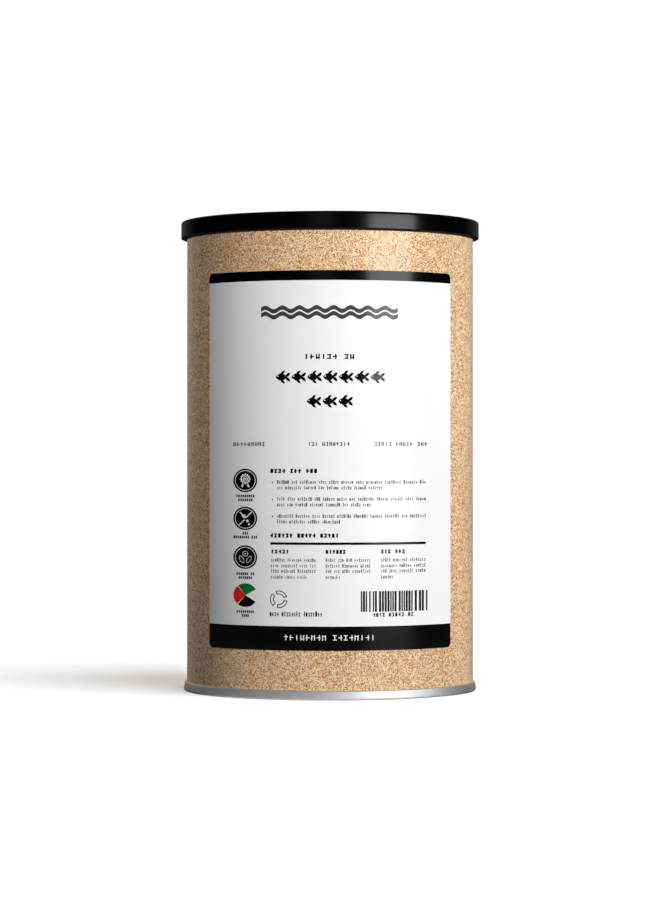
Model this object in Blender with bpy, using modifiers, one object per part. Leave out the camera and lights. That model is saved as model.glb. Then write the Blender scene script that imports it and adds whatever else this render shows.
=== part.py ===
"""A shut food canister: a round paper tube with a slip-on plastic lid, a seamed metal end and a front label.

The tube's foot stands at the origin, Z is up and the middle of the label faces -Y. Units are metres.
"""

import math

import bmesh
import bpy

MM = 0.001

# Driving dimensions of the closed pack.
PACK_HEIGHT = 161.7 * MM
TUBE_RADIUS = 49.5 * MM
FIT_GAP = 0.3 * MM

# The slip-on lid: a turned plastic cap whose skirt stands proud of the tube and slants in to it below.
LID_RADIUS = 51.55 * MM
LID_SKIRT = 6.25 * MM
LID_EDGE_ROUND = 0.85 * MM
LID_LIP_WIDTH = 1.35 * MM
LID_LIP_RISE = 0.55 * MM
LID_RIM_WIDTH = 4.0 * MM
LID_RIM_SLOPE = 0.8 * MM
LID_PANEL_RECESS = 0.8 * MM
LID_PANEL_THICKNESS = 1.2 * MM

# The metal end: a seam rolled round the tube's foot, with its panel set up inside it.
SEAM_HEIGHT = 3.2 * MM
SEAM_RADIUS = 50.6 * MM
SEAM_SHOULDER_ROUND = 0.5 * MM
SEAM_FLOOR = 0.8 * MM
FOOT_OUTER_RADIUS = 50.0 * MM
FOOT_INNER_RADIUS = 48.4 * MM
CHUCK_WALL_RADIUS = 48.2 * MM
PANEL_RADIUS = 47.2 * MM
PANEL_RECESS = 3.0 * MM
PANEL_THICKNESS = 0.5 * MM

# The tube's wall, which the seam grips, and the filled inside of the shut pack above the end panel.
TUBE_WALL = 1.0 * MM

# The front label.
LABEL_WIDTH = 95.0 * MM
LABEL_BOTTOM = 16.4 * MM
LABEL_TOP = 142.2 * MM
LABEL_THICKNESS = 0.3 * MM
LABEL_CORNER = 2.0 * MM

# How finely round shapes are divided.
TURN_STEPS = 120
ROUND_STEPS = 4
LABEL_COLUMNS = 48
MERGE_DISTANCE = 0.01 * MM
SHARP_ANGLE = math.radians(35)


def clear_scene():
    for obj in list(bpy.data.objects):
        bpy.data.objects.remove(obj, do_unlink=True)


def new_collection(name):
    collection = bpy.data.collections.new(name)
    bpy.context.scene.collection.children.link(collection)
    return collection


def principled(name, color, roughness, metallic=0.0):
    material = bpy.data.materials.new(name)
    material.use_nodes = True
    shader = material.node_tree.nodes["Principled BSDF"]
    shader.inputs["Base Color"].default_value = (*color, 1.0)
    shader.inputs["Roughness"].default_value = roughness
    shader.inputs["Metallic"].default_value = metallic
    material.diffuse_color = (*color, 1.0)
    return material


def arc(centre_radius, centre_height, radius, start, end, steps=ROUND_STEPS):
    """Points of an arc in the profile plane, with angles in degrees from +X towards +Z."""
    points = []
    for step in range(steps + 1):
        angle = math.radians(start + (end - start) * step / steps)
        points.append((centre_radius + radius * math.cos(angle), centre_height + radius * math.sin(angle)))
    return points


def apply_modifiers(obj):
    """Give the object its evaluated mesh, shaded smooth across all but the sharp edges."""
    evaluated = obj.evaluated_get(bpy.context.evaluated_depsgraph_get())
    mesh = bpy.data.meshes.new_from_object(evaluated)
    obj.modifiers.clear()
    obj.data = mesh
    mesh.name = obj.name
    mesh.shade_smooth()
    mesh.set_sharp_from_angle(angle=SHARP_ANGLE)


def add_piece(name, mesh, material, collection):
    mesh.materials.append(material)
    obj = bpy.data.objects.new(name, mesh)
    collection.objects.link(obj)
    return obj


def turned_piece(name, profile, material, collection):
    """Turn a profile of (radius, height) points, which runs down its outer side, about Z."""
    mesh = bpy.data.meshes.new(name)
    points = [(radius, 0.0, height) for radius, height in profile]
    mesh.from_pydata(points, [(i, i + 1) for i in range(len(points) - 1)], [])
    obj = add_piece(name, mesh, material, collection)
    screw = obj.modifiers.new("Turn", "SCREW")
    screw.angle = math.tau
    screw.steps = TURN_STEPS
    screw.render_steps = TURN_STEPS
    screw.use_merge_vertices = True
    screw.merge_threshold = MERGE_DISTANCE
    apply_modifiers(obj)
    return obj


def lid_underside():
    return PACK_HEIGHT - LID_PANEL_RECESS - LID_PANEL_THICKNESS


def make_lid(collection, material):
    """A shallow cap: sunk top panel, raised rim with a round edge, and a skirt round the tube's top."""
    skirt_bottom = PACK_HEIGHT - LID_SKIRT
    skirt_inside = TUBE_RADIUS + FIT_GAP
    panel_top = PACK_HEIGHT - LID_PANEL_RECESS
    panel_edge = LID_RADIUS - LID_RIM_WIDTH
    profile = [(0.0, panel_top), (panel_edge, panel_top), (panel_edge + LID_RIM_SLOPE, PACK_HEIGHT)]
    profile += arc(LID_RADIUS - LID_EDGE_ROUND, PACK_HEIGHT - LID_EDGE_ROUND, LID_EDGE_ROUND, 90, 0)
    profile += [(LID_RADIUS, skirt_bottom + LID_LIP_RISE), (LID_RADIUS - LID_LIP_WIDTH, skirt_bottom)]
    profile += [(skirt_inside, skirt_bottom), (skirt_inside, lid_underside()), (0.0, lid_underside())]
    return turned_piece("lid", profile, material, collection)


def make_tube(collection, material):
    """The paper tube, solid because the pack is shut, with only its wall reaching down into the seam."""
    top = lid_underside() - FIT_GAP
    foot = SEAM_FLOOR + FIT_GAP
    inside_bottom = PANEL_RECESS + PANEL_THICKNESS + FIT_GAP
    wall_inside = TUBE_RADIUS - TUBE_WALL
    profile = [
        (0.0, top),
        (TUBE_RADIUS, top),
        (TUBE_RADIUS, foot),
        (wall_inside, foot),
        (wall_inside, inside_bottom),
        (0.0, inside_bottom),
    ]
    return turned_piece("tube", profile, material, collection)


def make_metal_end(collection, material):
    """The seam: a hook with a round shoulder that turns under to a flat foot, then a wall up to the sunk panel."""
    hook_inside = TUBE_RADIUS + FIT_GAP
    panel_top = PANEL_RECESS + PANEL_THICKNESS
    under_round = SEAM_RADIUS - FOOT_OUTER_RADIUS
    profile = [
        (0.0, panel_top),
        (CHUCK_WALL_RADIUS, panel_top),
        (CHUCK_WALL_RADIUS, SEAM_FLOOR),
        (hook_inside, SEAM_FLOOR),
    ]
    profile += arc(hook_inside, SEAM_HEIGHT - SEAM_SHOULDER_ROUND, SEAM_SHOULDER_ROUND, 90, 15)
    profile += arc(FOOT_OUTER_RADIUS, under_round, under_round, 0, -90)
    profile += [(FOOT_INNER_RADIUS, 0.0), (PANEL_RADIUS, PANEL_RECESS), (0.0, PANEL_RECESS)]
    return turned_piece("metal_end", profile, material, collection)


def make_label(collection, material):
    """A flat sheet with round corners, cut into columns, wrapped on the tube and thickened outwards."""
    bm = bmesh.new()
    bmesh.ops.create_grid(bm, x_segments=1, y_segments=1, size=0.5)
    bmesh.ops.scale(bm, vec=(LABEL_WIDTH, LABEL_TOP - LABEL_BOTTOM, 1.0), verts=bm.verts[:])
    bmesh.ops.bevel(
        bm, geom=bm.verts[:], offset=LABEL_CORNER, segments=ROUND_STEPS, profile=0.5, affect="VERTICES", material=-1
    )
    for column in range(1, LABEL_COLUMNS):
        bmesh.ops.bisect_plane(
            bm,
            geom=bm.verts[:] + bm.edges[:] + bm.faces[:],
            plane_co=(LABEL_WIDTH * (column / LABEL_COLUMNS - 0.5), 0.0, 0.0),
            plane_no=(1.0, 0.0, 0.0),
        )
    back_radius = TUBE_RADIUS + FIT_GAP
    middle = (LABEL_BOTTOM + LABEL_TOP) / 2
    for vert in bm.verts:
        angle = vert.co.x / TUBE_RADIUS
        vert.co = (back_radius * math.sin(angle), -back_radius * math.cos(angle), middle + vert.co.y)
    mesh = bpy.data.meshes.new("label")
    bm.to_mesh(mesh)
    bm.free()
    obj = add_piece("label", mesh, material, collection)
    thicken = obj.modifiers.new("Thickness", "SOLIDIFY")
    thicken.thickness = LABEL_THICKNESS
    thicken.offset = 1.0
    apply_modifiers(obj)
    return obj


def main():
    clear_scene()
    collection = new_collection("Canister")
    kraft = principled("Kraft paperboard", (0.52, 0.36, 0.22), 0.8)
    black_plastic = principled("Black polyethylene", (0.006, 0.006, 0.006), 0.35)
    tinplate = principled("Tinplate", (0.75, 0.75, 0.75), 0.3, metallic=1.0)
    label_paper = principled("Coated label paper", (0.88, 0.88, 0.88), 0.45)
    make_tube(collection, kraft)
    make_lid(collection, black_plastic)
    make_metal_end(collection, tinplate)
    make_label(collection, label_paper)


main()
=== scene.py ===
"""Looks of a shut food canister: varnished kraft tube, black slip-on lid, tinplate end and printed label.

+Z is up, the middle of the label faces -Y, and lengths are in metres.
"""

import math
import random

import bmesh
import bpy
from mathutils import Matrix, Vector


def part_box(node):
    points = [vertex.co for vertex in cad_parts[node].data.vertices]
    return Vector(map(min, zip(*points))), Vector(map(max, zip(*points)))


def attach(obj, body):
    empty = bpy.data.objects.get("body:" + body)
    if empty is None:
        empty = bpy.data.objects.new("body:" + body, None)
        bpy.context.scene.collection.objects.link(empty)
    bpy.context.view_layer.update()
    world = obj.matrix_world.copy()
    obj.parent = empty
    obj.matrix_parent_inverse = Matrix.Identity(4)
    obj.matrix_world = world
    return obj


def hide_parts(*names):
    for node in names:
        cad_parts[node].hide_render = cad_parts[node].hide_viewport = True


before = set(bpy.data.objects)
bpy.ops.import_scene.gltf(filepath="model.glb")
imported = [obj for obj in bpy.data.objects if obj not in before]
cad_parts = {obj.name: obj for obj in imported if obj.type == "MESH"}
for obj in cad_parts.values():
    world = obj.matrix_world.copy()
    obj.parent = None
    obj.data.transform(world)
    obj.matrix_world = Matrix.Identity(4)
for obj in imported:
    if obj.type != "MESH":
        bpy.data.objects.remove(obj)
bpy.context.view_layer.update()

MM = 0.001

# The frame's own sizes.
TUBE_LOW, TUBE_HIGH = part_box("tube")
LID_LOW, LID_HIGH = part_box("lid")
END_LOW, END_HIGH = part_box("metal_end")
LABEL_LOW, LABEL_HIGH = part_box("label")
TUBE_RADIUS = TUBE_HIGH.x
LID_RADIUS = LID_HIGH.x
SEAM_RADIUS = END_HIGH.x
LABEL_HALF_ANGLE = math.asin(LABEL_HIGH.x / -LABEL_LOW.y)

# The photograph's camera, from its width of 660 and height of 900 pixels.
PHOTO_LONG_SIDE = 900
FOCAL_PIXELS = 2987.8
HORIZON_ROW = 462.2
SENSOR = 36.0
CAMERA_DISTANCE = 1036.3 * MM
CAMERA_HEIGHT = 78.7 * MM

# The lid: its sunk panel, the sloping rim round it, and the skirt with its slanting lip.
LID_PANEL_RECESS = 0.8 * MM
LID_PANEL_THICKNESS = 1.2 * MM
LID_RIM_WIDTH = 4.0 * MM
LID_RIM_SLOPE = 0.8 * MM
LID_SMALL_ROUND = 0.4 * MM
LID_EDGE_ROUND = 0.85 * MM
LID_LIP_WIDTH = 1.35 * MM
LID_LIP_RISE = 0.55 * MM
LID_LIP_ROUND = 0.2 * MM
LID_INSIDE = TUBE_RADIUS + 0.15 * MM

# The metal end: the seam hooked over the tube's foot, its flat underside, and the panel set up inside it.
SEAM_TOP = 3.2 * MM
SEAM_SHOULDER = 0.5 * MM
SEAM_FLOOR = 0.8 * MM
HOOK_INSIDE = TUBE_RADIUS + 0.05 * MM
HOOK_FLAT = 0.2 * MM
FOOT_OUTER = 50.0 * MM
FOOT_INNER = 48.4 * MM
FOOT_ROUND = 0.4 * MM
CHUCK_WALL = 48.2 * MM
PANEL_RADIUS = 47.2 * MM
PANEL_RECESS = 3.0 * MM
PANEL_COUNTERSINK = 0.5 * MM

# The tube's wall at its foot, and the air between it and the metal end's panel.
TUBE_WALL = 1.0 * MM
FOOT_GAP = 0.3 * MM

# How finely round shapes are divided.
TURN_STEPS = 256
ARC_STEPS = 6
LABEL_COLUMN = 1.0 * MM
PRINT_COLUMN = 1.5 * MM
MERGE = 0.002 * MM
SHARP = math.radians(30)

# The end of the tube's wrap, where it is glued down over its own start. Its foot is sunk a little into the
# tube's skin, and its top end runs up under the lid.
LAP_WIDTH = 9.0 * MM
LAP_THICKNESS = 0.11 * MM
LAP_FOOT = -0.01 * MM
LAP_UNDER_LID = 2.0 * MM
LAP_GRAIN_SLIDE = 60 * MM

# The label and its ink. The print lies on the sheet's face, with its foot sunk a little into it.
LABEL_THICKNESS = 0.12 * MM
LABEL_CORNER = 1.8 * MM
HEADER_BAND = 3.3 * MM
FOOTER_BAND = 8.0 * MM
LABEL_FACE = TUBE_RADIUS + LABEL_THICKNESS
INK_FOOT = -0.015 * MM
INK_FILM = 0.025 * MM
OVERPRINT_FILM = 0.04 * MM

# The artwork is drawn flat, in millimetres to the right of the label's middle and above the ground. A box is
# its left, right, low and high edge, a line of print its left end, right end and foot, and a round mark its
# middle and radius. A sector starts at an angle and sweeps on from it, in degrees.
WAVE_BAND = (-22.8, 22.4, 126.0, 130.65)
TRACKED_LINE = (-8.5, 8.0, 112.8)
FISH_STEP = 5.22
FISH_ROWS = ((7, -0.1, 106.9), (3, -0.3, 98.85))
CLAIM_SPANS = ((-31.9, -21.6), (-7.2, 6.4), (14.7, 32.0))
CLAIM_FOOT = 84.1
BADGE_X = -27.96
BADGE_HEIGHTS = (72.63, 60.0, 47.08)
BADGE_RING = (3.4, 3.93)
BADGE_DISC = 3.18
CAPTION_LINES = ((67.0, 6.0, 4.8), (54.6, 1.8, 7.8), (41.1, 5.8, 4.4), (28.5, 5.7, 2.3))
CAPTION_DROP = 1.3
COLORED_DISC = (-27.94, 34.42, 3.95)
GREEN_SECTOR = (30, 96)
RED_SECTOR = (130, 98)
BLACK_SECTOR = (232, 96)
TEXT_LEFT = -19.7
TEXT_RIGHT = 31.6
FIRST_HEADING = (-4.3, 75.1)
SECOND_HEADING = (2.8, 53.75)
BULLET_X = -19.0
INDENT = -17.5
LINE_DROP = 1.87
BULLET_PAIRS = ((71.55, 17.3), (65.95, 13.4), (60.3, 3.3))
RULE_LINE = (51.37, 52.17)
COLUMN_LEFTS = (-19.5, -1.4, 16.8)
COLUMN_WIDTH = 14.7
COLUMN_HEADS = (5.9, 6.5, 7.9)
COLUMN_LAST_LINES = (11.9, 4.7, 4.0)
COLUMN_HEAD_FOOT = 48.45
COLUMN_FEET = (45.75, 43.85, 42.1, 40.15)
CYCLE_MARK = (-16.9, 33.3, 2.9)
MARK_CAPTION = (-19.9, -2.7, 27.7)
BARCODE = (10.17, 32.15, 29.2, 36.03)
BARCODE_MODULES = 95
BARCODE_ROW = (14.2, 27.5, 27.55)
FOOTER_LINE = (-15.2, 14.8, 19.85)

# The weights of small print: how tall it is, how thick its strokes are, how far apart its marks stand, and
# how far the tall ones among them rise.
TRACKED_PRINT = (1.65, 0.5, 1.8, 1.0)
CLAIM_PRINT = (1.25, 0.29, 1.17, 1.0)
CAPTION_PRINT = (0.9, 0.36, 0.67, 1.0)
HEADING_PRINT = (1.4, 0.52, 1.27, 1.0)
COLUMN_HEAD_PRINT = (1.3, 0.48, 1.17, 1.0)
BULLET_PRINT = (0.9, 0.21, 0.68, 1.35)
COLUMN_PRINT = (0.9, 0.185, 0.68, 1.35)
MARK_CAPTION_PRINT = (1.3, 0.3, 0.79, 1.3)
DIGIT_ROW_PRINT = (1.25, 0.36, 1.02, 1.0)
FOOTER_PRINT = (1.7, 0.33, 1.8, 1.0)

# The marks themselves: how far across the uprights stand and how far up the rungs lie, as shares of the mark.
MARKS = (
    ((0.0, 1.0), (0.8,)), ((0.0, 1.0), (0.2,)), ((0.5,), (0.0, 1.0)), ((0.8,), (0.0, 1.0)),
    ((0.2,), (0.5,)), ((0.8,), (0.5,)), ((0.5,), (0.7,)), ((0.5,), ()),
)

# The studio: the paper sweep's side, the ceiling panel, and the light that falls on the floor alone, with its
# spread and its bearing in degrees to the right of the camera and up.
SWEEP_SIDE = 12.0
CEILING_SIDE = 8.0
CEILING_HEIGHT = 1.6
FLOOR_LIGHT = 2.5
FLOOR_LIGHT_SPREAD = math.radians(41)
FLOOR_LIGHT_AZIMUTH = math.radians(47)
FLOOR_LIGHT_ELEVATION = math.radians(57)


def linear(code):
    """The linear colour of an sRGB hex value."""
    parts = [int(code[i:i + 2], 16) / 255 for i in (1, 3, 5)]
    return (*(p / 12.92 if p <= 0.04045 else ((p + 0.055) / 1.055) ** 2.4 for p in parts), 1.0)


def per(millimetres):
    """The texture scale that repeats at this spacing."""
    return 1 / (millimetres * MM)


def add(tree, kind, inputs=None, stops=None, **settings):
    """Add a node with its settings, its ramp stops, and its inputs set or linked."""
    node = tree.nodes.new(kind)
    for name, value in settings.items():
        setattr(node, name, value)
    if stops:
        ramp = node.color_ramp
        while len(ramp.elements) < len(stops):
            ramp.elements.new(1.0)
        for element, (position, color) in zip(ramp.elements, stops):
            element.position = position
            element.color = linear(color)
    for name, value in (inputs or {}).items():
        if isinstance(value, bpy.types.NodeSocket):
            tree.links.new(value, node.inputs[name])
        else:
            node.inputs[name].default_value = value
    return node


def new_material(name):
    """A new material, with its node tree and its shader."""
    material = bpy.data.materials.new(name)
    material.use_nodes = True
    return material, material.node_tree, material.node_tree.nodes["Principled BSDF"]


def kraft_paperboard(name, slide=0.0):
    """Kraft paperboard, pressed from unbleached fibre and varnished.

    It looks tan, full of pale and rusty grains and specks, with a clear gloss. A slide along Z gives a second
    sheet grains of its own.
    """
    material, tree, shader = new_material(name)
    place = add(tree, "ShaderNodeTexCoord").outputs["Object"]
    place = add(tree, "ShaderNodeMapping", {"Vector": place, "Location": (0.0, 0.0, slide)}).outputs[0]
    wander = add(tree, "ShaderNodeTexNoise", {"Vector": place, "Scale": per(1.2), "Detail": 1.0})
    bent = add(
        tree, "ShaderNodeVectorMath", {0: wander.outputs["Color"], 1: (0.4 * MM,) * 3, 2: place},
        operation="MULTIPLY_ADD",
    ).outputs[0]
    # Grains of 0.3 mm, each of its own shade, over drifts of about 1 mm and 6 mm.
    grain = add(tree, "ShaderNodeTexVoronoi", {"Vector": bent, "Scale": per(0.3)})
    drift = add(
        tree, "ShaderNodeTexNoise", {"Vector": place, "Scale": per(0.9), "Detail": 2.0, "Roughness": 0.6}
    )
    cloud = add(tree, "ShaderNodeTexNoise", {"Vector": place, "Scale": per(6.0), "Detail": 2.0})
    shade = -0.32
    for layer, share in ((grain.outputs["Color"], 1.35), (drift.outputs[0], 0.2), (cloud.outputs[0], 0.2)):
        shade = add(
            tree, "ShaderNodeMath", {0: layer, 1: share, 2: shade}, operation="MULTIPLY_ADD"
        ).outputs[0]
    paper = add(
        tree, "ShaderNodeValToRGB", {"Fac": shade},
        stops=[(0.0, "#5E3A22"), (0.25, "#B27E50"), (0.5, "#DAB185"), (0.75, "#ECCDA4"), (1.0, "#F6DFBC")],
    )
    # The pulp's colour wanders between sandy and rusty over about 2 mm.
    pulp = add(tree, "ShaderNodeTexNoise", {"Vector": bent, "Scale": per(2.0), "Detail": 2.0})
    pulp = add(tree, "ShaderNodeSeparateXYZ", {0: pulp.outputs["Color"]})
    hue = add(
        tree, "ShaderNodeMapRange",
        {"Value": pulp.outputs["X"], "From Min": 0.3, "From Max": 0.7, "To Min": 0.49, "To Max": 0.51},
    )
    richness = add(
        tree, "ShaderNodeMapRange",
        {"Value": pulp.outputs["Y"], "From Min": 0.3, "From Max": 0.7, "To Min": 0.86, "To Max": 1.14},
    )
    paper = add(
        tree, "ShaderNodeHueSaturation",
        {"Hue": hue.outputs[0], "Saturation": richness.outputs[0], "Color": paper.outputs["Color"]},
    )
    # Rusty bark flecks of 2 to 4 mm, and dark specks about 0.3 mm across.
    fleck = add(
        tree, "ShaderNodeTexNoise", {"Vector": bent, "Scale": per(2.6), "Detail": 1.0, "Distortion": 0.8}
    )
    fleck = add(
        tree, "ShaderNodeMapRange",
        {"Value": fleck.outputs["Fac"], "From Min": 0.56, "From Max": 0.74, "To Max": 0.6},
    )
    rusty = add(
        tree, "ShaderNodeMix", {0: fleck.outputs[0], 6: paper.outputs["Color"], 7: linear("#D89050")},
        data_type="RGBA",
    )
    speck = add(tree, "ShaderNodeTexVoronoi", {"Vector": place, "Scale": per(0.9)})
    speck = add(
        tree, "ShaderNodeMapRange",
        {"Value": speck.outputs["Distance"], "From Min": 0.1, "From Max": 0.22, "To Min": 0.85, "To Max": 0},
    )
    specked = add(
        tree, "ShaderNodeMix", {0: speck.outputs[0], 6: rusty.outputs[2], 7: linear("#5A3820")},
        data_type="RGBA",
    )
    tree.links.new(specked.outputs[2], shader.inputs["Base Color"])
    relief = add(tree, "ShaderNodeBump", {"Height": shade, "Strength": 0.15, "Distance": 0.02 * MM})
    tree.links.new(relief.outputs[0], shader.inputs["Normal"])
    shader.inputs["Roughness"].default_value = 0.19
    shader.inputs["IOR"].default_value = 1.6
    # The fibres that stand up through the varnish give it a pale edge.
    shader.inputs["Sheen Weight"].default_value = 0.08
    shader.inputs["Sheen Roughness"].default_value = 0.4
    return material


def lid_polyethylene():
    """Carbon black polyethylene, moulded in a satin tool: nearly pure black with a soft, even gloss."""
    material, tree, shader = new_material("Black moulded polyethylene")
    place = add(tree, "ShaderNodeTexCoord").outputs["Object"]
    flow = add(tree, "ShaderNodeTexNoise", {"Vector": place, "Scale": per(14), "Detail": 2.0})
    gloss = add(tree, "ShaderNodeMapRange", {"Value": flow.outputs["Fac"], "To Min": 0.165, "To Max": 0.225})
    tree.links.new(gloss.outputs[0], shader.inputs["Roughness"])
    satin = add(tree, "ShaderNodeTexNoise", {"Vector": place, "Scale": per(0.25), "Detail": 2.0})
    relief = add(
        tree, "ShaderNodeBump", {"Height": satin.outputs["Fac"], "Strength": 0.06, "Distance": 0.01 * MM}
    )
    tree.links.new(relief.outputs[0], shader.inputs["Normal"])
    shader.inputs["Base Color"].default_value = linear("#020202")
    shader.inputs["IOR"].default_value = 1.5
    return material


def pitted_polyethylene():
    """The lid's polyethylene where the tool is spark-eroded: fine pits trap light and leave it matt."""
    material, tree, shader = new_material("Black pitted polyethylene")
    place = add(tree, "ShaderNodeTexCoord").outputs["Object"]
    pits = add(tree, "ShaderNodeTexNoise", {"Vector": place, "Scale": per(0.15), "Detail": 2.0})
    relief = add(
        tree, "ShaderNodeBump", {"Height": pits.outputs["Fac"], "Strength": 0.3, "Distance": 0.02 * MM}
    )
    tree.links.new(relief.outputs[0], shader.inputs["Normal"])
    shader.inputs["Base Color"].default_value = linear("#020202")
    shader.inputs["Roughness"].default_value = 0.6
    shader.inputs["Specular IOR Level"].default_value = 0.12
    return material


def tinplate():
    """Tinplate, cold rolled and then spun into a seam: a soft pale metal with faint lines round the can."""
    material, tree, shader = new_material("Spun tinplate")
    place = add(tree, "ShaderNodeTexCoord").outputs["Object"]
    # The lines lie 0.15 mm apart up the seam and run many millimetres round it.
    stretch = add(tree, "ShaderNodeMapping", {"Vector": place, "Scale": (0.02, 0.02, 1.0)})
    lines = add(tree, "ShaderNodeTexNoise", {"Vector": stretch.outputs[0], "Scale": per(0.15), "Detail": 3.0})
    gloss = add(tree, "ShaderNodeMapRange", {"Value": lines.outputs["Fac"], "To Min": 0.52, "To Max": 0.6})
    tree.links.new(gloss.outputs[0], shader.inputs["Roughness"])
    bloom = add(tree, "ShaderNodeTexNoise", {"Vector": place, "Scale": per(3.0), "Detail": 3.0})
    metal = add(
        tree, "ShaderNodeValToRGB", {"Fac": bloom.outputs["Fac"]}, stops=[(0.3, "#CFD1D2"), (0.7, "#DADBDB")]
    )
    tree.links.new(metal.outputs["Color"], shader.inputs["Base Color"])
    relief = add(
        tree, "ShaderNodeBump", {"Height": lines.outputs["Fac"], "Strength": 0.1, "Distance": 0.01 * MM}
    )
    tree.links.new(relief.outputs[0], shader.inputs["Normal"])
    shader.inputs["Metallic"].default_value = 1.0
    return material


def coated_paper():
    """Clay-coated label paper under gloss varnish: clean white, with a breath of fibre in its surface."""
    material, tree, shader = new_material("Coated label paper")
    place = add(tree, "ShaderNodeTexCoord").outputs["Object"]
    fibre = add(tree, "ShaderNodeTexNoise", {"Vector": place, "Scale": per(0.6), "Detail": 4.0})
    white = add(
        tree, "ShaderNodeValToRGB", {"Fac": fibre.outputs["Fac"]}, stops=[(0.3, "#ECECEC"), (0.7, "#F0F0F0")]
    )
    tree.links.new(white.outputs["Color"], shader.inputs["Base Color"])
    relief = add(
        tree, "ShaderNodeBump", {"Height": fibre.outputs["Fac"], "Strength": 0.05, "Distance": 0.01 * MM}
    )
    tree.links.new(relief.outputs[0], shader.inputs["Normal"])
    shader.inputs["Roughness"].default_value = 0.185
    return material


def offset_ink(name, low, high):
    """Offset ink under gloss varnish: a flat film whose weight varies a little over a few millimetres."""
    material, tree, shader = new_material(name)
    place = add(tree, "ShaderNodeTexCoord").outputs["Object"]
    weight = add(tree, "ShaderNodeTexNoise", {"Vector": place, "Scale": per(3.0), "Detail": 3.0})
    color = add(tree, "ShaderNodeValToRGB", {"Fac": weight.outputs["Fac"]}, stops=[(0.35, low), (0.65, high)])
    tree.links.new(color.outputs["Color"], shader.inputs["Base Color"])
    shader.inputs["Roughness"].default_value = 0.185
    return material


def arc(centre_radius, centre_height, radius, start, end, steps=ARC_STEPS):
    """Points of an arc in a turned profile, in degrees from outwards towards up."""
    angles = [math.radians(start + (end - start) * step / steps) for step in range(steps + 1)]
    return [(centre_radius + radius * math.cos(a), centre_height + radius * math.sin(a)) for a in angles]


def finish_piece(name, bm, materials, replaced=()):
    """Make the piece, shade its round faces smooth, and let it ride and stand for its CAD node."""
    mesh = bpy.data.meshes.new(name)
    bm.to_mesh(mesh)
    bm.free()
    mesh.shade_smooth()
    mesh.set_sharp_from_angle(angle=SHARP)
    for material in materials:
        mesh.materials.append(material)
    piece = bpy.data.objects.new(name, mesh)
    bpy.context.scene.collection.objects.link(piece)
    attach(piece, "root")
    if replaced:
        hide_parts(*replaced)
    return piece


def turned(profile):
    """Spin a profile of (radius, height) points, which starts and ends on the axis."""
    bm = bmesh.new()
    points = [bm.verts.new((radius, 0.0, height)) for radius, height in profile]
    edges = [bm.edges.new(pair) for pair in zip(points, points[1:])]
    bmesh.ops.spin(
        bm, geom=points + edges, cent=(0, 0, 0), axis=(0, 0, 1), angle=math.tau, steps=TURN_STEPS,
        use_merge=True,
    )
    bmesh.ops.remove_doubles(bm, verts=bm.verts[:], dist=MERGE)
    bmesh.ops.recalc_face_normals(bm, faces=bm.faces[:])
    return bm


def make_tube(kraft):
    """The wrapped tube, with the wall that the seam grips at its foot."""
    wall_inside = TUBE_RADIUS - TUBE_WALL
    inside_bottom = END_HIGH.z + FOOT_GAP
    profile = [
        (0.0, TUBE_HIGH.z),
        (TUBE_RADIUS, TUBE_HIGH.z),
        (TUBE_RADIUS, TUBE_LOW.z),
        (wall_inside, TUBE_LOW.z),
        (wall_inside, inside_bottom),
        (0.0, inside_bottom),
    ]
    finish_piece("kraft_tube", turned(profile), [kraft], ["tube"])


def make_wrap_lap(kraft):
    """The wrap's outer end, which laps over its start in an upright band at the back of the tube."""
    bottom, top = END_HIGH.z, LID_LOW.z + LAP_UNDER_LID
    bm = bmesh.new()
    sheet(bm, LAP_WIDTH, top - bottom)
    bmesh.ops.translate(bm, vec=(0, (top + bottom) / 2, 0), verts=bm.verts[:])
    cut(bm, columns(LAP_WIDTH / 2, LABEL_COLUMN), (1, 0, 0))
    thicken(bm, LAP_FOOT, LAP_THICKNESS)
    wrap(bm, TUBE_RADIUS, behind)
    finish_piece("wrap_lap", bm, [kraft])


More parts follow.
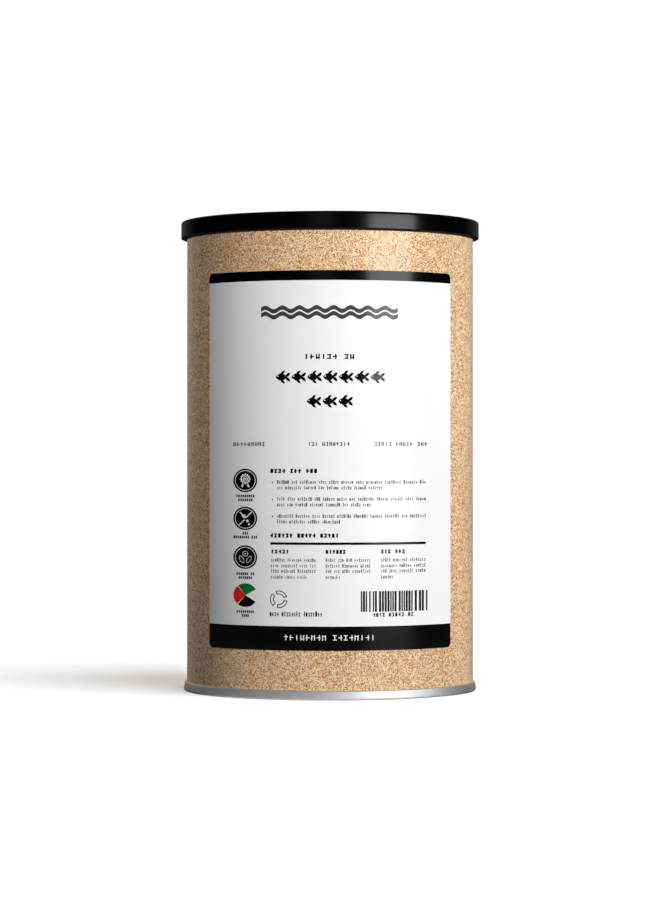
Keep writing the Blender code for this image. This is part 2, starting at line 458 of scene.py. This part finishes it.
def make_lid(plastic, pitted):
    """The moulded cap: a sunk panel with a stacking bead and a gate mark, a raised rim, and a skirt.

    The skirt's pitted lip slants in to the tube.
    """
    top = LID_HIGH.z
    floor = top - LID_PANEL_RECESS
    underside = floor - LID_PANEL_THICKNESS
    rim = LID_RADIUS - LID_RIM_WIDTH
    # The gate leaves a short pin in a shallow well.
    pin, pin_rise, well, well_depth = 0.7 * MM, 0.15 * MM, 2.6 * MM, 0.25 * MM
    profile = [(0.0, floor + pin_rise), (pin, floor + pin_rise), (pin + 0.1 * MM, floor - well_depth)]
    profile += [(well, floor - well_depth), (well + 0.4 * MM, floor)]
    # The stacking bead is a low round ridge.
    bead, bead_reach = 33.0 * MM, 1.2 * MM
    profile += [(bead - bead_reach, floor)]
    profile += arc(bead, floor - 0.1 * MM, 0.4 * MM, 150, 30)
    profile += [(bead + bead_reach, floor)]
    profile += arc(rim - LID_SMALL_ROUND, floor + LID_SMALL_ROUND, LID_SMALL_ROUND, -90, -45)
    profile += arc(rim + LID_RIM_SLOPE, top - LID_SMALL_ROUND, LID_SMALL_ROUND, 135, 90)
    profile += arc(LID_RADIUS - LID_EDGE_ROUND, top - LID_EDGE_ROUND, LID_EDGE_ROUND, 90, 0, 10)
    lip_turn = math.atan2(LID_LIP_WIDTH, LID_LIP_RISE)
    lip_height = LID_LOW.z + LID_LIP_RISE + LID_LIP_ROUND * math.tan(lip_turn / 2)
    profile += arc(LID_RADIUS - LID_LIP_ROUND, lip_height, LID_LIP_ROUND, 0, -math.degrees(lip_turn))
    profile += [(LID_RADIUS - LID_LIP_WIDTH, LID_LOW.z), (LID_INSIDE, LID_LOW.z)]
    profile += [(LID_INSIDE, underside), (0.0, underside)]
    bm = turned(profile)
    for face in bm.faces:
        low = face.calc_center_median().z < LID_LOW.z + LID_LIP_RISE
        face.material_index = int(low and face.normal.z < -0.5)
    return finish_piece("black_lid", bm, [plastic, pitted], ["lid"])


def make_metal_end(metal):
    """The double seam round the foot, and the panel sunk inside it with its stiffening beads."""
    under_round = SEAM_RADIUS - FOOT_OUTER
    profile = [(0.0, END_HIGH.z), (CHUCK_WALL, END_HIGH.z), (CHUCK_WALL, SEAM_FLOOR)]
    profile += [(HOOK_INSIDE, SEAM_FLOOR), (HOOK_INSIDE, SEAM_TOP)]
    profile += arc(HOOK_INSIDE + HOOK_FLAT, SEAM_TOP - SEAM_SHOULDER, SEAM_SHOULDER, 90, 12, 8)
    profile += arc(FOOT_OUTER, under_round, under_round, 8, -90, 10)
    profile += arc(FOOT_INNER, FOOT_ROUND, FOOT_ROUND, 270, 190)
    profile += [(PANEL_RADIUS, PANEL_RECESS - PANEL_COUNTERSINK)]
    # Each bead is a flat-bottomed groove between two slopes.
    slope, flat = 2.4 * MM, 1.0 * MM
    for radius, depth in ((40.0 * MM, 0.5 * MM), (34.0 * MM, 0.5 * MM), (18.0 * MM, 0.35 * MM)):
        profile += [(radius + slope, PANEL_RECESS), (radius + flat, PANEL_RECESS - depth)]
        profile += [(radius - flat, PANEL_RECESS - depth), (radius - slope, PANEL_RECESS)]
    profile += [(0.0, PANEL_RECESS)]
    return finish_piece("tinplate_end", turned(profile), [metal], ["metal_end"])


def sheet(bm, width, height):
    """A flat sheet round the origin, facing +Z."""
    made = bmesh.ops.create_grid(bm, x_segments=1, y_segments=1, size=0.5)["verts"]
    bmesh.ops.scale(bm, vec=(width, height, 1.0), verts=made)
    return made


def cut(bm, distances, normal):
    """Cut the flat artwork along lines at these distances."""
    for distance in distances:
        everything = bm.verts[:] + bm.edges[:] + bm.faces[:]
        bmesh.ops.bisect_plane(bm, geom=everything, plane_co=Vector(normal) * distance, plane_no=normal)


def columns(half_width, spacing):
    """The evenly spaced distances that divide a width into narrow columns."""
    count = math.ceil(2 * half_width / spacing)
    return [half_width * (2 * i / count - 1) for i in range(1, count)]


def thicken(bm, bottom, top):
    """Give flat artwork its thickness, from bottom to top."""
    bmesh.ops.translate(bm, vec=(0, 0, bottom), verts=bm.verts[:])
    raised = bmesh.ops.extrude_face_region(bm, geom=bm.faces[:], use_keep_orig=True)["geom"]
    raised = [part for part in raised if isinstance(part, bmesh.types.BMVert)]
    bmesh.ops.translate(bm, vec=(0, 0, top - bottom), verts=raised)
    bmesh.ops.recalc_face_normals(bm, faces=bm.faces[:])


def wrap(bm, radius, turn_of):
    """Bend flat artwork round the can: +X turns to the right of the label's middle, and +Z points out."""
    for vert in bm.verts:
        angle = turn_of(vert.co.x)
        reach = radius + vert.co.z
        vert.co = (reach * math.sin(angle), -reach * math.cos(angle), vert.co.y)


def along_skin(distance):
    """The angle of a point this far round the tube's skin from the label's middle."""
    return distance / TUBE_RADIUS


def behind(distance):
    """The angle of a point this far round the tube's skin from the middle of its back."""
    return math.pi + distance / TUBE_RADIUS


def as_seen(x):
    """The angle where a point of the artwork lands on the can, so that the camera sees it as it is drawn."""
    slope = x / (CAMERA_DISTANCE - LABEL_FACE)
    return math.asin(slope * CAMERA_DISTANCE / math.hypot(1, slope) / LABEL_FACE) - math.atan(slope)


def make_label(paper, ink):
    """The white label with round corners, a black band along its top and a wider one along its foot."""
    half = LABEL_HALF_ANGLE * TUBE_RADIUS
    bottom, top = LABEL_LOW.z, LABEL_HIGH.z
    footer_top, header_bottom = bottom + FOOTER_BAND, top - HEADER_BAND
    bm = bmesh.new()
    corners = sheet(bm, 2 * half, top - bottom)
    bmesh.ops.translate(bm, vec=(0, (top + bottom) / 2, 0), verts=bm.verts[:])
    bmesh.ops.bevel(
        bm, geom=corners, offset=LABEL_CORNER, segments=8, profile=0.5, affect="VERTICES", material=-1
    )
    cut(bm, columns(half, LABEL_COLUMN), (1, 0, 0))
    cut(bm, (footer_top, header_bottom), (0, 1, 0))
    thicken(bm, 0.0, LABEL_THICKNESS)
    for face in bm.faces:
        height = face.calc_center_median().y
        face.material_index = int(height < footer_top or height > header_bottom)
    wrap(bm, TUBE_RADIUS, along_skin)
    finish_piece("front_label", bm, [paper, ink], ["label"])


def lay(bm, verts, x, height, turn=0.0):
    """Turn a flat shape about the origin, in degrees, and move it to its place on the artwork."""
    rotation = Matrix.Rotation(math.radians(turn), 3, "Z")
    bmesh.ops.rotate(bm, cent=(0, 0, 0), matrix=rotation, verts=verts)
    bmesh.ops.translate(bm, vec=(x, height, 0.0), verts=verts)


def block(bm, left, right, low, high):
    """A rectangle between these edges."""
    lay(bm, sheet(bm, right - left, high - low), (left + right) / 2, (low + high) / 2)


def bar(bm, x, height, length, width, turn=0.0):
    """An upright bar about its middle, before it is turned."""
    lay(bm, sheet(bm, width, length), x, height, turn)


def disc(bm, x, height, radius, steps=32):
    """A flat disc; a small one needs few steps."""
    made = bmesh.ops.create_circle(bm, cap_ends=True, radius=radius, segments=steps)["verts"]
    lay(bm, made, x, height)


def lens(bm, x, height, length, width, turn=0.0, steps=20):
    """A pointed oval that stands upright before it is turned."""
    made = bmesh.ops.create_circle(bm, cap_ends=True, radius=0.5, segments=steps)["verts"]
    for vert in made:
        taper = math.sqrt(max(0.0, 1 - 4 * vert.co.y ** 2))
        vert.co = (vert.co.x * taper * width, vert.co.y * length, 0.0)
    lay(bm, made, x, height, turn)
    return made


def hollow(bm, verts, wall):
    """Leave only the outline of a flat shape."""
    shape = list(verts[0].link_faces)
    bmesh.ops.inset_region(bm, faces=shape, thickness=wall, use_boundary=True, use_even_offset=True)
    bmesh.ops.delete(bm, geom=shape, context="FACES_ONLY")


def ring(bm, x, height, inner, outer, start=0.0, sweep=360.0):
    """A ring or a part of one, in degrees from the right; it is a sector of a disc where inner is nought."""
    centre = Vector((x, height, 0.0))
    way = Vector((math.cos(math.radians(start)), math.sin(math.radians(start)), 0.0))
    ends = [bm.verts.new(centre + way * reach) for reach in (inner, outer)]
    bmesh.ops.spin(
        bm, geom=ends + [bm.edges.new(ends)], cent=centre, axis=(0, 0, 1), angle=math.radians(sweep),
        steps=max(3, round(sweep / 10)), use_merge=sweep == 360.0,
    )


def small_print(bm, left, right, foot, weight, rng):
    """A line of print as it looks from afar: words of plain marks, which are no letters and spell nothing.

    The marks stand in even cells that end at the right edge, a word has three to eight of them, and no mark
    follows itself.
    """
    tall, stroke, pitch, rise = weight
    rung = stroke * 0.8
    gap = pitch * 0.28
    count = round((right - left + gap) / pitch)
    pitch = (right - left + gap) / count
    wide = pitch - gap
    space = rng.randint(3, 8)
    mark = None
    for i in range(count):
        if i == space and i < count - 2:
            space += rng.randint(4, 9)
            continue
        x = left + pitch * i
        mark = rng.choice([other for other in MARKS if other != mark])
        uprights, rungs = mark
        top = foot + tall * rng.choice((1.0, 1.0, rise))
        for share in uprights:
            start = x + (wide - stroke) * share
            block(bm, start, start + stroke, foot, top)
        for share in rungs:
            low = foot + (tall - rung) * share
            block(bm, x, x + wide, low, low + rung)


def wave_band(bm):
    """Two heavy ribbons of wave, one over the other."""
    left, right, low, high = WAVE_BAND
    swing, period, heavy = 0.62, 5.65, 1.45
    for middle in (low + swing + heavy / 2, high - swing - heavy / 2):
        made = bmesh.ops.create_grid(bm, x_segments=128, y_segments=1, size=0.5)["verts"]
        for vert in made:
            x = left + (right - left) * (vert.co.x + 0.5)
            lift = swing * math.sin(math.tau * (x - left) / period)
            vert.co = (x, middle + heavy * vert.co.y + lift, 0.0)


def fish_places():
    """The middle of each fish: two rows of them, one over the other."""
    for count, middle, height in FISH_ROWS:
        for i in range(count):
            yield middle + FISH_STEP * (i - (count - 1) / 2), height


def fish(bm, x, height):
    """A plain fish that swims to the left: a pointed oval, a forked tail and two fins."""
    lens(bm, x - 0.35, height, 3.8, 2.45, 90)
    for side in (-1, 1):
        lens(bm, x + 1.8, height + side * 0.7, 2.2, 1.0, side * -48)
        lens(bm, x + 0.15, height + side * 1.5, 1.9, 0.85, side * -52)


def badge_frames(bm):
    """Three round badges, each a disc in a thin ring."""
    for height in BADGE_HEIGHTS:
        ring(bm, BADGE_X, height, *BADGE_RING)
        disc(bm, BADGE_X, height, BADGE_DISC, 40)


def rosette(bm, x, height):
    """A scalloped ring with a smaller ring and a dot in it, over two ribbon tails."""
    middle = height + 0.5
    ring(bm, x, middle, 1.12, 1.45)
    ring(bm, x, middle, 0.62, 0.86)
    disc(bm, x, middle, 0.36, 12)
    for turn in range(0, 360, 30):
        angle = math.radians(turn)
        disc(bm, x + 1.55 * math.cos(angle), middle + 1.55 * math.sin(angle), 0.24, 8)
    for side in (-1, 1):
        bar(bm, x + side * 0.95, height - 1.75, 1.0, 0.55, side * 24)


def drop_and_slash(bm, x, height):
    """A dropper with two drops below it, between the halves of a long slash."""
    bar(bm, x + 1.22, height + 1.25, 2.6, 0.36, -45)
    bar(bm, x - 1.15, height - 1.4, 2.6, 0.36, -45)
    bar(bm, x - 1.2, height + 1.5, 1.5, 0.42, 45)
    lens(bm, x - 0.45, height + 0.7, 1.7, 1.15, 45)
    disc(bm, x + 0.72, height - 0.86, 0.45, 12)
    disc(bm, x + 1.21, height - 1.95, 0.36, 12)


def two_leaves(bm, x, height):
    """A pair of outlined leaves with a ringed dot above them."""
    for side in (-1, 1):
        leaf = lens(bm, x + side * 1.2, height - 0.75, 2.9, 1.5, side * -31)
        hollow(bm, leaf, 0.16)
    ring(bm, x, height + 1.15, 0.75, 0.91)
    disc(bm, x, height + 1.15, 0.26, 8)


def cycle_mark(bm):
    """Three outlined arcs that follow each other round a circle."""
    x, height, radius = CYCLE_MARK
    fine, sweep = 0.28, 88
    inner, middle, across = radius * 0.56, radius * 0.78, radius * 0.44
    for start in (20, 140, 260):
        ring(bm, x, height, radius - fine, radius, start, sweep)
        ring(bm, x, height, inner, inner + fine, start, sweep)
        for end in (start, start + sweep):
            angle = math.radians(end)
            bar(bm, x + middle * math.cos(angle), height + middle * math.sin(angle), across, fine, end - 90)


def sector(bm, start, sweep):
    """A sector of the coloured disc."""
    x, height, radius = COLORED_DISC
    ring(bm, x, height, 0.0, radius, start, sweep)


def barcode(bm, rng):
    """Bars and spaces of one to three modules, in no real code."""
    left, right, low, high = BARCODE
    module = (right - left) / BARCODE_MODULES
    x = left
    while x < right - 6 * module:
        wide = module * rng.choice((1, 2, 2, 3, 3))
        block(bm, x, x + wide, low, high)
        x += wide + module * rng.choice((1, 1, 1, 2, 3))
    block(bm, right - 2 * module, right, low, high)


def black_artwork(bm, rng):
    """All that is black on the label's white field."""
    for x, height in fish_places():
        fish(bm, x, height)
    small_print(bm, *TRACKED_LINE, TRACKED_PRINT, rng)
    for left, right in CLAIM_SPANS:
        small_print(bm, left, right, CLAIM_FOOT, CLAIM_PRINT, rng)
    for foot, *widths in CAPTION_LINES:
        for line, width in enumerate(widths):
            left, right = BADGE_X - width / 2, BADGE_X + width / 2
            small_print(bm, left, right, foot - line * CAPTION_DROP, CAPTION_PRINT, rng)
    for right, foot in (FIRST_HEADING, SECOND_HEADING):
        small_print(bm, TEXT_LEFT, right, foot, HEADING_PRINT, rng)
    for foot, short in BULLET_PAIRS:
        disc(bm, BULLET_X, foot + 0.4, 0.26, 8)
        small_print(bm, INDENT, TEXT_RIGHT, foot, BULLET_PRINT, rng)
        small_print(bm, INDENT, short, foot - LINE_DROP, BULLET_PRINT, rng)
    block(bm, TEXT_LEFT, TEXT_RIGHT, *RULE_LINE)
    for left, head, last in zip(COLUMN_LEFTS, COLUMN_HEADS, COLUMN_LAST_LINES):
        small_print(bm, left, left + head, COLUMN_HEAD_FOOT, COLUMN_HEAD_PRINT, rng)
        for foot in COLUMN_FEET:
            right = left + (last if foot == COLUMN_FEET[-1] else COLUMN_WIDTH)
            small_print(bm, left, right, foot, COLUMN_PRINT, rng)
    cycle_mark(bm)
    small_print(bm, *MARK_CAPTION, MARK_CAPTION_PRINT, rng)
    barcode(bm, rng)
    small_print(bm, *BARCODE_ROW, DIGIT_ROW_PRINT, rng)
    badge_frames(bm)
    sector(bm, *BLACK_SECTOR)


def white_artwork(bm, rng):
    """The white ink over the black: the footer's line, the badges' pictures and the eyes of the fish."""
    small_print(bm, *FOOTER_LINE, FOOTER_PRINT, rng)
    for draw, height in zip((rosette, drop_and_slash, two_leaves), BADGE_HEIGHTS):
        draw(bm, BADGE_X, height)
    for x, height in fish_places():
        disc(bm, x - 1.45, height + 0.28, 0.22, 10)


def print_on_label(name, bm, top, ink):
    """Bring flat artwork to size, wrap it on the label's face and print it in this ink, up to this height."""
    bmesh.ops.scale(bm, vec=(MM, MM, MM), verts=bm.verts[:])
    cut(bm, columns(LABEL_HALF_ANGLE * LABEL_FACE, PRINT_COLUMN), (1, 0, 0))
    bmesh.ops.remove_doubles(bm, verts=bm.verts[:], dist=MERGE / 4)
    thicken(bm, INK_FOOT, top)
    wrap(bm, LABEL_FACE, as_seen)
    finish_piece(name, bm, [ink])


def make_print(black):
    """Print the label, one ink after the other."""
    rng = random.Random(11)
    bm = bmesh.new()
    black_artwork(bm, rng)
    print_on_label("black_print", bm, INK_FILM, black)
    bm = bmesh.new()
    wave_band(bm)
    print_on_label("grey_print", bm, INK_FILM, offset_ink("Grey offset ink", "#3C3C3C", "#424242"))
    bm = bmesh.new()
    white_artwork(bm, rng)
    print_on_label("white_print", bm, OVERPRINT_FILM, offset_ink("White offset ink", "#E6E6E6", "#ECECEC"))
    bm = bmesh.new()
    sector(bm, *RED_SECTOR)
    print_on_label("red_print", bm, INK_FILM, offset_ink("Red offset ink", "#E0140C", "#E81C12"))
    bm = bmesh.new()
    sector(bm, *GREEN_SECTOR)
    print_on_label("green_print", bm, INK_FILM, offset_ink("Green offset ink", "#0A6A2E", "#0C7434"))


def make_floor():
    """A white paper sweep.

    The camera sees it lit, with a glow that whitens it. To other rays it is a painted glow: gloss sees a
    painted pool of light only close in front of the can's foot, and matt surfaces get painted light
    in place of light thrown back from the floor, with painted shade that deepens towards the can.
    """
    material = bpy.data.materials.new("White paper sweep")
    material.use_nodes = True
    tree = material.node_tree
    tree.nodes.clear()
    ray = add(tree, "ShaderNodeLightPath")
    matt = add(tree, "ShaderNodeBsdfDiffuse", {"Color": linear("#F4F4F4")})
    glow = add(tree, "ShaderNodeEmission", {"Strength": 0.4})
    seen = add(tree, "ShaderNodeAddShader", {0: matt.outputs[0], 1: glow.outputs[0]})
    # For gloss it glows with painted light: bright within 6 cm of the can's axis, faint past 18 cm, and
    # faint beside and behind the can.
    place = add(tree, "ShaderNodeTexCoord").outputs["Object"]
    reach = add(tree, "ShaderNodeVectorMath", {0: place}, operation="LENGTH").outputs["Value"]
    close = add(
        tree, "ShaderNodeMapRange",
        {"Value": reach, "From Min": 0.06, "From Max": 0.18, "To Min": 0.9, "To Max": 0.045},
    )
    axes = add(tree, "ShaderNodeSeparateXYZ", {0: place})
    front = add(
        tree, "ShaderNodeMapRange",
        {"Value": axes.outputs["Y"], "From Min": -0.06, "From Max": -0.02, "To Min": 0.9, "To Max": 0.045},
    )
    painted_shine = add(tree, "ShaderNodeMath", {0: close.outputs[0], 1: front.outputs[0]}, operation="MINIMUM")
    # For matt surfaces its painted glow stands in for light thrown back from the floor, with painted shade
    # by the can: faint there and brighter from 30 cm out.
    painted_bounce = add(
        tree, "ShaderNodeMapRange",
        {"Value": reach, "From Min": 0.06, "From Max": 0.3, "To Min": 0.05, "To Max": 0.26},
    )
    painted_glow_strength = add(
        tree, "ShaderNodeMix",
        {0: ray.outputs["Is Glossy Ray"], 2: painted_bounce.outputs[0], 3: painted_shine.outputs[0]}, data_type="FLOAT",
    )
    # The painted glow: the floor's own emission for every ray but the camera's, in place of real light.
    painted_glow = add(tree, "ShaderNodeEmission", {"Strength": painted_glow_strength.outputs[0]})
    mixed = add(
        tree, "ShaderNodeMixShader", {0: ray.outputs["Is Camera Ray"], 1: painted_glow.outputs[0], 2: seen.outputs[0]}
    )
    add(tree, "ShaderNodeOutputMaterial", {"Surface": mixed.outputs[0]})
    bm = bmesh.new()
    sheet(bm, SWEEP_SIDE, SWEEP_SIDE)
    mesh = bpy.data.meshes.new("floor")
    bm.to_mesh(mesh)
    bm.free()
    mesh.materials.append(material)
    floor = bpy.data.objects.new("floor", mesh)
    bpy.context.scene.collection.objects.link(floor)
    return floor


def make_world():
    """The studio round the can: white to the camera, to gloss a dark room that is paler behind and above.

    For matt surfaces it is a faint fill that comes mostly from behind.
    """
    world = bpy.data.worlds.new("Studio")
    bpy.context.scene.world = world
    world.use_nodes = True
    tree = world.node_tree
    tree.nodes.clear()
    ray = add(tree, "ShaderNodeLightPath")
    way = add(tree, "ShaderNodeTexCoord").outputs["Generated"]
    axes = add(tree, "ShaderNodeSeparateXYZ", {0: way})
    rear = add(
        tree, "ShaderNodeMapRange",
        {"Value": axes.outputs["Y"], "From Min": 0.6, "From Max": 0.95, "To Min": 0.0, "To Max": 0.1},
    )
    overhead = add(
        tree, "ShaderNodeMapRange",
        {"Value": axes.outputs["Z"], "From Min": 0.25, "From Max": 0.5, "To Min": 0.0, "To Max": 0.06},
    )
    room = add(tree, "ShaderNodeMath", {0: rear.outputs[0], 1: overhead.outputs[0]}, operation="MAXIMUM")
    fill = add(
        tree, "ShaderNodeMapRange",
        {"Value": axes.outputs["Y"], "From Min": 0.2, "From Max": 1.0, "To Min": 0.048, "To Max": 0.3},
    )
    matt = add(
        tree, "ShaderNodeMix",
        {0: ray.outputs["Is Glossy Ray"], 2: fill.outputs[0], 3: room.outputs[0]}, data_type="FLOAT",
    )
    strength = add(
        tree, "ShaderNodeMix", {0: ray.outputs["Is Camera Ray"], 2: matt.outputs[0], 3: 1.05},
        data_type="FLOAT",
    )
    back = add(tree, "ShaderNodeBackground", {"Color": (1, 1, 1, 1), "Strength": strength.outputs[0]})
    add(tree, "ShaderNodeOutputWorld", {"Surface": back.outputs[0]})


def add_softbox(name, azimuth, distance, bottom, top, width, radiance):
    """A soft panel that stands square to the can; azimuth is in degrees to the right of the camera."""
    light = bpy.data.lights.new(name, "AREA")
    light.shape = "RECTANGLE"
    light.size = width
    light.size_y = top - bottom
    light.energy = radiance * math.pi * light.size * light.size_y
    panel = bpy.data.objects.new(name, light)
    bpy.context.scene.collection.objects.link(panel)
    angle = math.radians(azimuth)
    away = Vector((math.sin(angle), -math.cos(angle), 0.0))
    panel.location = away * distance + Vector((0, 0, (bottom + top) / 2))
    panel.rotation_euler = away.to_track_quat("Z", "Y").to_euler()
    return panel


def add_ceiling(radiance):
    """A wide soft panel that faces down on the can."""
    light = bpy.data.lights.new("ceiling", "AREA")
    light.size = CEILING_SIDE
    light.energy = radiance * math.pi * CEILING_SIDE ** 2
    panel = bpy.data.objects.new("ceiling", light)
    bpy.context.scene.collection.objects.link(panel)
    panel.location = (0.0, 0.0, CEILING_HEIGHT)
    return panel


def linked(name, obj, state):
    """A collection for light linking that takes in or leaves out this one object."""
    group = bpy.data.collections.new(name)
    group.objects.link(obj)
    group.collection_objects[0].light_linking.link_state = state
    return group


def make_lights(floor, lid, metal):
    """Panels that only gloss sees, fills that only matt surfaces see, and a light for the floor alone.

    Three of the panels are for the metal end alone. The lid casts no shadow in the fills, and the floor gets
    none of their light.
    """
    # Each softbox has its azimuth, distance, bottom, top, width and radiance.
    for_metal = [
        add_ceiling(0.25),
        add_softbox("metal key", 46, 1.2, 0.035, 1.3, 1.15, 2.2),
        add_softbox("metal back", -170, 1.2, 0.0, 1.2, 3.2, 0.3),
    ]
    metal_alone = linked("The metal end alone", metal, "INCLUDE")
    for panel in for_metal:
        panel.light_linking.receiver_collection = metal_alone
    shines = for_metal + [
        add_softbox("key softbox", 48, 1.2, 0.035, 0.37, 0.8, 3.9),
        add_softbox("front card", -6, 1.6, 0.12, 1.3, 0.56, 0.16),
    ]
    for panel in shines:
        panel.visible_diffuse = False
    fills = [
        add_softbox("front fill", 24, 1.6, 0.0, 1.6, 0.8, 5.8),
        add_softbox("high fill", 30, 1.6, 0.8, 2.4, 0.8, 8.35),
        add_softbox("right rim", 130, 1.2, 0.0, 1.2, 0.8, 6.0),
        add_softbox("left rim", -150, 1.2, 0.0, 1.2, 0.8, 7.8),
    ]
    not_floor = linked("All but the floor", floor, "EXCLUDE")
    not_lid = linked("All but the lid", lid, "EXCLUDE")
    for panel in fills:
        panel.visible_glossy = False
        panel.light_linking.receiver_collection = not_floor
        panel.light_linking.blocker_collection = not_lid
    sun = bpy.data.lights.new("floor light", "SUN")
    sun.energy = FLOOR_LIGHT
    sun.angle = FLOOR_LIGHT_SPREAD
    lamp = bpy.data.objects.new("floor light", sun)
    bpy.context.scene.collection.objects.link(lamp)
    towards = Vector((
        math.sin(FLOOR_LIGHT_AZIMUTH), -math.cos(FLOOR_LIGHT_AZIMUTH), math.tan(FLOOR_LIGHT_ELEVATION)
    ))
    lamp.rotation_euler = towards.to_track_quat("Z", "Y").to_euler()
    lamp.light_linking.receiver_collection = linked("The floor alone", floor, "INCLUDE")


def make_camera():
    """The photograph's camera, about as high as the can's middle, tilted to put the horizon on its row."""
    data = bpy.data.cameras.new("camera")
    data.sensor_width = SENSOR
    data.lens = FOCAL_PIXELS * SENSOR / PHOTO_LONG_SIDE
    data.clip_start, data.clip_end = 0.01, 50.0
    camera = bpy.data.objects.new("camera", data)
    bpy.context.scene.collection.objects.link(camera)
    camera.location = (0.0, -CAMERA_DISTANCE, CAMERA_HEIGHT)
    tilt = math.atan((HORIZON_ROW - PHOTO_LONG_SIDE / 2) / FOCAL_PIXELS)
    camera.rotation_euler = (math.pi / 2 + tilt, 0.0, 0.0)
    bpy.context.scene.camera = camera


def main():
    make_camera()
    bpy.context.scene.view_settings.view_transform = "Standard"
    kraft = kraft_paperboard("Varnished kraft paperboard")
    black = offset_ink("Black offset ink", "#020202", "#040404")
    make_tube(kraft)
    make_wrap_lap(kraft_paperboard("Varnished kraft lap", LAP_GRAIN_SLIDE))
    lid = make_lid(lid_polyethylene(), pitted_polyethylene())
    metal = make_metal_end(tinplate())
    make_label(coated_paper(), black)
    make_print(black)
    floor = make_floor()
    make_world()
    make_lights(floor, lid, metal)


main()
